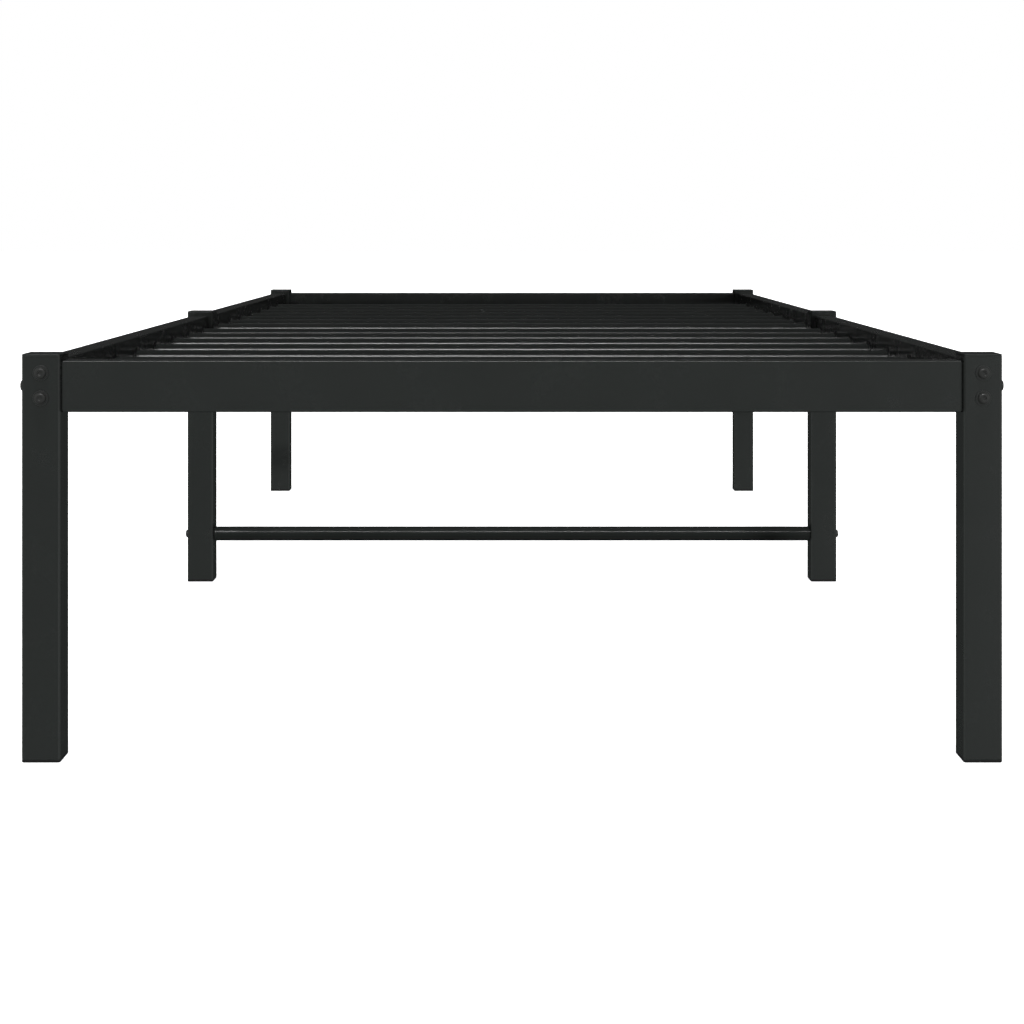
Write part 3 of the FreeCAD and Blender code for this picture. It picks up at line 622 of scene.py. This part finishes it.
def hexagon(flats, sides):
    """Points round a hexagon, at the same turns as the circle's."""
    points = []
    for index in range(sides):
        turn = 2 * math.pi * index / sides
        from_flat = (turn + math.pi / 6) % (math.pi / 3) - math.pi / 6
        reach = flats / 2 / math.cos(from_flat)
        points.append(reach * Vector((math.cos(turn), math.sin(turn))))
    return points


def black_plated_steel(name, dark, light, metal, roughness):
    """Steel under a thin black chromate: nearly as dark as the coat, with a slight metal
    sheen that is glossier on the rubbed high spots and duller between them."""
    material, tree = new_material(name)
    place = add_node(tree, "ShaderNodeTexCoord").outputs["Object"]
    flecks = add_node(tree, "ShaderNodeTexNoise", inputs={
        "Vector": place, "Scale": 1 / FLECK_SPACING, "Detail": 4.0, "Roughness": 0.6})
    colour = add_node(tree, "ShaderNodeMix", {"data_type": "RGBA"}, {
        0: flecks.outputs["Fac"], 6: linear(dark), 7: linear(light)})
    gloss = add_node(tree, "ShaderNodeMapRange", inputs={
        "Value": flecks.outputs["Fac"], "From Min": 0.3, "From Max": 0.7,
        "To Min": roughness - 0.05, "To Max": roughness + 0.06})
    bump = add_node(tree, "ShaderNodeBump", inputs={
        "Height": flecks.outputs["Fac"], "Strength": 0.2, "Distance": FLECK_DEPTH})
    steel = add_node(tree, "ShaderNodeBsdfPrincipled", inputs={
        "Base Color": colour.outputs[2], "Metallic": metal,
        "Roughness": gloss.outputs["Result"], "Normal": bump.outputs["Normal"]})
    add_node(tree, "ShaderNodeOutputMaterial", inputs={"Surface": steel.outputs["BSDF"]})
    return material


def bolt_pattern(shank_length):
    """A button head on Z = 0 with its shank below. The dome is a shallow arc to a flat land
    round the socket, whose mouth is countersunk and whose floor is a drill point."""
    mesh = bmesh.new()
    lift = along("Z", Vector())
    mouth = SOCKET_FLATS / 2 / math.cos(math.pi / 6)
    land = mouth + HEAD_LAND
    rings = [
        lift(circle(SHANK_RADIUS - SHANK_CHAMFER, HEX_SIDES), -shank_length),
        lift(circle(SHANK_RADIUS, HEX_SIDES), -shank_length + SHANK_CHAMFER),
        lift(circle(SHANK_RADIUS, HEX_SIDES), 0),
        lift(circle(HEAD_RADIUS - HEAD_UNDERCUT, HEX_SIDES), 0),
    ]
    for step in range(DOME_STEPS + 1):
        turn = math.radians(90 * step / DOME_STEPS)
        radius = land + (HEAD_RADIUS - land) * math.cos(turn)
        height = HEAD_RIM_HEIGHT + (HEAD_HEIGHT - HEAD_RIM_HEIGHT) * math.sin(turn)
        rings.append(lift(circle(radius, HEX_SIDES), height))
    rings += [
        lift(circle(mouth + SOCKET_MOUTH, HEX_SIDES), HEAD_HEIGHT),
        lift(hexagon(SOCKET_FLATS, HEX_SIDES), HEAD_HEIGHT - SOCKET_CHAMFER),
        lift(hexagon(SOCKET_FLATS, HEX_SIDES), HEAD_HEIGHT - SOCKET_DEPTH),
        lift(circle(DRILL_TIP, HEX_SIDES), HEAD_HEIGHT - SOCKET_DEPTH - DRILL_POINT),
    ]
    add_skin(mesh, rings, fill_first=True, fill_last=True)
    return mesh


def washer_pattern():
    """A stamped washer on Z = 0, its upper rim rolled and its hole slightly countersunk."""
    mesh = bmesh.new()
    lathe(mesh, [
        (WASHER_HOLE, 0),
        (WASHER_HOLE, WASHER_THICKNESS - WASHER_HOLE_EDGE),
        (WASHER_HOLE + WASHER_HOLE_EDGE, WASHER_THICKNESS),
        (WASHER_RADIUS - WASHER_EDGE, WASHER_THICKNESS),
        (WASHER_RADIUS - WASHER_EDGE * 0.3, WASHER_THICKNESS - WASHER_EDGE * 0.3),
        (WASHER_RADIUS, WASHER_THICKNESS - WASHER_EDGE),
        (WASHER_RADIUS, 0),
    ], HEX_SIDES, loop=True)
    return mesh


bolt_steel = black_plated_steel(
    "black_plated_steel_bolts", "#242524", "#2c2d2c", 0.1, 0.34)
washer_steel = black_plated_steel(
    "black_plated_steel_washers", "#212322", "#272827", 0.05, 0.4)

leg_box = {name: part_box(f"{name}_leg") for name in LEG_NAMES}
rail_middle_z = (rail_low.z + rail_high.z) / 2
bolts_low, bolts_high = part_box("side_rail_bolts")
SPACING = (bolts_high.z - bolts_low.z) - 2 * HEAD_RADIUS
side_bolts_z = (bolts_high.z + bolts_low.z) / 2
side_seats = []
end_seats = []
crossbar_seats = []
lock_seats = []
for name, (low, high) in leg_box.items():
    middle = (low + high) / 2
    outwards = -1 if name.endswith("left") else 1
    outer_x = low.x if outwards < 0 else high.x
    if name.startswith("middle"):
        bar_z = (bar_low.z + bar_high.z) / 2
        crossbar_seats.append((Vector((outer_x, middle.y, bar_z)), Vector((outwards, 0, 0))))
        locks_low, locks_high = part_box("half_rail_lock_bolts")
        for y in (locks_low.y + HEAD_RADIUS, locks_high.y - HEAD_RADIUS):
            lock_seats.append((Vector((middle.x, y, rail_low.z)), Vector((0, 0, -1))))
        continue
    end_seats.append((Vector((outer_x, middle.y, rail_middle_z)), Vector((outwards, 0, 0))))
    endwards = -1 if name.startswith("front") else 1
    outer_y = low.y if endwards < 0 else high.y
    for rise in (SPACING / 2, -SPACING / 2):
        spot = Vector((middle.x, outer_y, side_bolts_z + rise))
        side_seats.append((spot, Vector((0, endwards, 0))))


def add_bolts(name, node, seats, shank, washers_node, seed):
    """Bolts on their seats, standing on washers where they have them."""
    lift_off = WASHER_THICKNESS if washers_node else 0
    heads = [(spot + facing * lift_off, facing) for spot, facing in seats]
    bolts = place_copies(name, bolt_pattern(shank), heads, bolt_steel, seed,
                         BOLT_SMOOTH_BELOW)
    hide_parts(node)
    if washers_node:
        washers = place_copies(f"{name}_washers", washer_pattern(), seats, washer_steel,
                               seed + 1, BOLT_SMOOTH_BELOW)
        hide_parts(washers_node)


add_bolts("side_rail_button_bolts", "side_rail_bolts", side_seats, CORNER_SHANK,
          "side_rail_washers", 3)
add_bolts("end_rail_button_bolts", "end_rail_bolts", end_seats, CORNER_SHANK,
          "end_rail_washers", 5)
add_bolts("crossbar_button_bolts", "crossbar_bolts", crossbar_seats, CROSSBAR_SHANK,
          "crossbar_washers", 7)
add_bolts("lock_button_bolts", "half_rail_lock_bolts", lock_seats, LOCK_SHANK, None, 9)

# ---------------------------------------------------------------- hidden joints
# Welded end plates and sleeves, coated with the frame, and bright zinc weld nuts and inserts.
# They sit inside the tubes, where only their edges show in the gaps.

ZINC_BLOOM = 1.5 * MM


def zinc_plate(name):
    """Bright zinc on turned and pressed steel: a bluish metal with a fine crystalline bloom."""
    material, tree = new_material(name)
    place = add_node(tree, "ShaderNodeTexCoord").outputs["Object"]
    bloom = add_node(tree, "ShaderNodeTexVoronoi", inputs={
        "Vector": place, "Scale": 1 / ZINC_BLOOM})
    colour = add_node(tree, "ShaderNodeMix", {"data_type": "RGBA"}, {
        0: bloom.outputs["Distance"], 6: linear("#c3c7cb"), 7: linear("#dadcdd")})
    gloss = add_node(tree, "ShaderNodeMapRange", inputs={
        "Value": bloom.outputs["Distance"], "To Min": 0.28, "To Max": 0.42})
    steel = add_node(tree, "ShaderNodeBsdfPrincipled", inputs={
        "Base Color": colour.outputs[2], "Metallic": 1.0,
        "Roughness": gloss.outputs["Result"]})
    add_node(tree, "ShaderNodeOutputMaterial", inputs={"Surface": steel.outputs["BSDF"]})
    return material


def coat_node(node, material):
    """Gives a CAD node that stays as it is its own finish."""
    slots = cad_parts[node].material_slots
    for slot in slots:
        slot.material = material


zinc = zinc_plate("bright_zinc_plate")
for node in ("side_rail_end_plates", "end_rail_end_plates", "half_rail_sleeves"):
    coat_node(node, black_powder_coat)
for node in ("side_rail_weld_nuts", "end_rail_weld_nuts", "half_rail_lock_nuts",
             "crossbar_inserts"):
    coat_node(node, zinc)

# ---------------------------------------------------------------- studio
# A matt white floor that runs out of sight in a white room. A strip lamp high before the foot
# end draws the highlights. Soft far lamps light the fronts, the sides and the tops, each
# nearly level or upright, so that a rail shades what stands behind it.

FLOOR_SIZE = 80
FLOOR_GLOW = 1.0
LAMP_REACH = 14.0
FLOOR_DROP = 0.2 * MM
ROOM_LIGHT = 0.15
ROOM_MIRRORED = 0.034

floor_mesh = bmesh.new()
bmesh.ops.create_grid(floor_mesh, x_segments=1, y_segments=1, size=FLOOR_SIZE / 2)
floor_data = bpy.data.meshes.new("floor")
floor_mesh.to_mesh(floor_data)
floor_mesh.free()
floor = bpy.data.objects.new("floor", floor_data)
bpy.context.scene.collection.objects.link(floor)
floor_paint, tree = new_material("matt_white_floor_paint")
paint = add_node(tree, "ShaderNodeBsdfPrincipled", inputs={
    "Base Color": linear("#f4f4f4"), "Roughness": 0.9, "Specular IOR Level": 0.1,
    "Emission Color": (1, 1, 1, 1), "Emission Strength": FLOOR_GLOW})
add_node(tree, "ShaderNodeOutputMaterial", inputs={"Surface": paint.outputs["BSDF"]})
floor_data.materials.append(floor_paint)
floor.location.z = -FLOOR_DROP
floor.visible_glossy = False
floor.visible_diffuse = False
floor.visible_shadow = False


def aim(sideways, height_angle):
    """A direction by its sideways part and its angle above the floor, towards the foot end."""
    rise = math.radians(height_angle)
    level = math.sqrt(1 - sideways ** 2)
    return Vector((sideways, -level * math.cos(rise), level * math.sin(rise)))


def hang_lamp(data, direction):
    """A lamp far off in a direction, which shines at the bed."""
    direction = Vector(direction).normalized()
    lamp = bpy.data.objects.new(data.name, data)
    lamp.location = direction * LAMP_REACH
    lamp.rotation_euler = (-direction).to_track_quat("-Z", "Y").to_euler()
    bpy.context.scene.collection.objects.link(lamp)
    return lamp


def add_strip_lamp(name, direction, wide, high, light_on_bed):
    """A lamp for the highlights alone. wide and high are in radians as the bed sees it."""
    data = bpy.data.lights.new(name, "AREA")
    data.shape = "RECTANGLE"
    data.size = wide * LAMP_REACH
    data.size_y = high * LAMP_REACH
    data.energy = light_on_bed * math.pi * LAMP_REACH ** 2
    hang_lamp(data, direction).visible_diffuse = False


def add_soft_lamp(name, direction, spread, light_on_bed):
    """Even, matt light from a round patch of the room. spread is in degrees."""
    data = bpy.data.lights.new(name, "SUN")
    data.angle = math.radians(spread)
    data.energy = light_on_bed
    hang_lamp(data, direction).visible_glossy = False


add_strip_lamp("strip_lamp", aim(-0.06, 42), 0.44, 0.06, 1.10)
add_strip_lamp("edge_lamp", (0.85, -0.5, 0.12), 0.7, 0.5, 0.08)
add_strip_lamp("glow_lamp", (0.42, -0.9, -0.1), 0.25, 0.4, 0.06)
add_soft_lamp("front_lamp", (0.08, -1, 0.003), 3, 2.7)
add_soft_lamp("low_lamp", (-0.09, -1, -0.105), 3, 1.75)
add_soft_lamp("left_lamp", (-1, 0.05, -0.014), 1.2, 4.3)
add_soft_lamp("right_lamp", (1, 0.05, -0.014), 1.2, 4.2)
add_soft_lamp("top_lamp", (0, -0.1, 1), 12, 2.8)

world = bpy.data.worlds.new("studio")
world.use_nodes = True
bpy.context.scene.world = world
tree = world.node_tree
tree.nodes.clear()
ray = add_node(tree, "ShaderNodeLightPath").outputs
towards = add_node(tree, "ShaderNodeTexCoord").outputs["Generated"]
height = add_node(tree, "ShaderNodeSeparateXYZ", inputs={"Vector": towards}).outputs["Z"]
above = add_node(tree, "ShaderNodeMapRange", inputs={
    "Value": height, "From Min": -0.02, "From Max": 0.1, "To Min": 0.03, "To Max": 1.0})
white = add_node(tree, "ShaderNodeBackground", inputs={"Color": (1, 1, 1, 1), "Strength": 1.0})
dark = add_node(tree, "ShaderNodeMath", {"operation": "MULTIPLY"}, {
    0: above.outputs["Result"], 1: ROOM_MIRRORED})
mirrored = add_node(tree, "ShaderNodeBackground", inputs={
    "Color": (1, 1, 1, 1), "Strength": dark.outputs[0]})
dim = add_node(tree, "ShaderNodeMath", {"operation": "MULTIPLY"}, {
    0: above.outputs["Result"], 1: ROOM_LIGHT})
room = add_node(tree, "ShaderNodeBackground", inputs={
    "Color": (1, 1, 1, 1), "Strength": dim.outputs[0]})
lit = add_node(tree, "ShaderNodeMixShader", inputs={
    0: ray["Is Glossy Ray"], 1: room.outputs[0], 2: mirrored.outputs[0]})
seen = add_node(tree, "ShaderNodeMixShader", inputs={
    0: ray["Is Camera Ray"], 1: lit.outputs[0], 2: white.outputs[0]})
add_node(tree, "ShaderNodeOutputWorld", inputs={"Surface": seen.outputs[0]})

bpy.context.scene.view_settings.view_transform = "Standard"
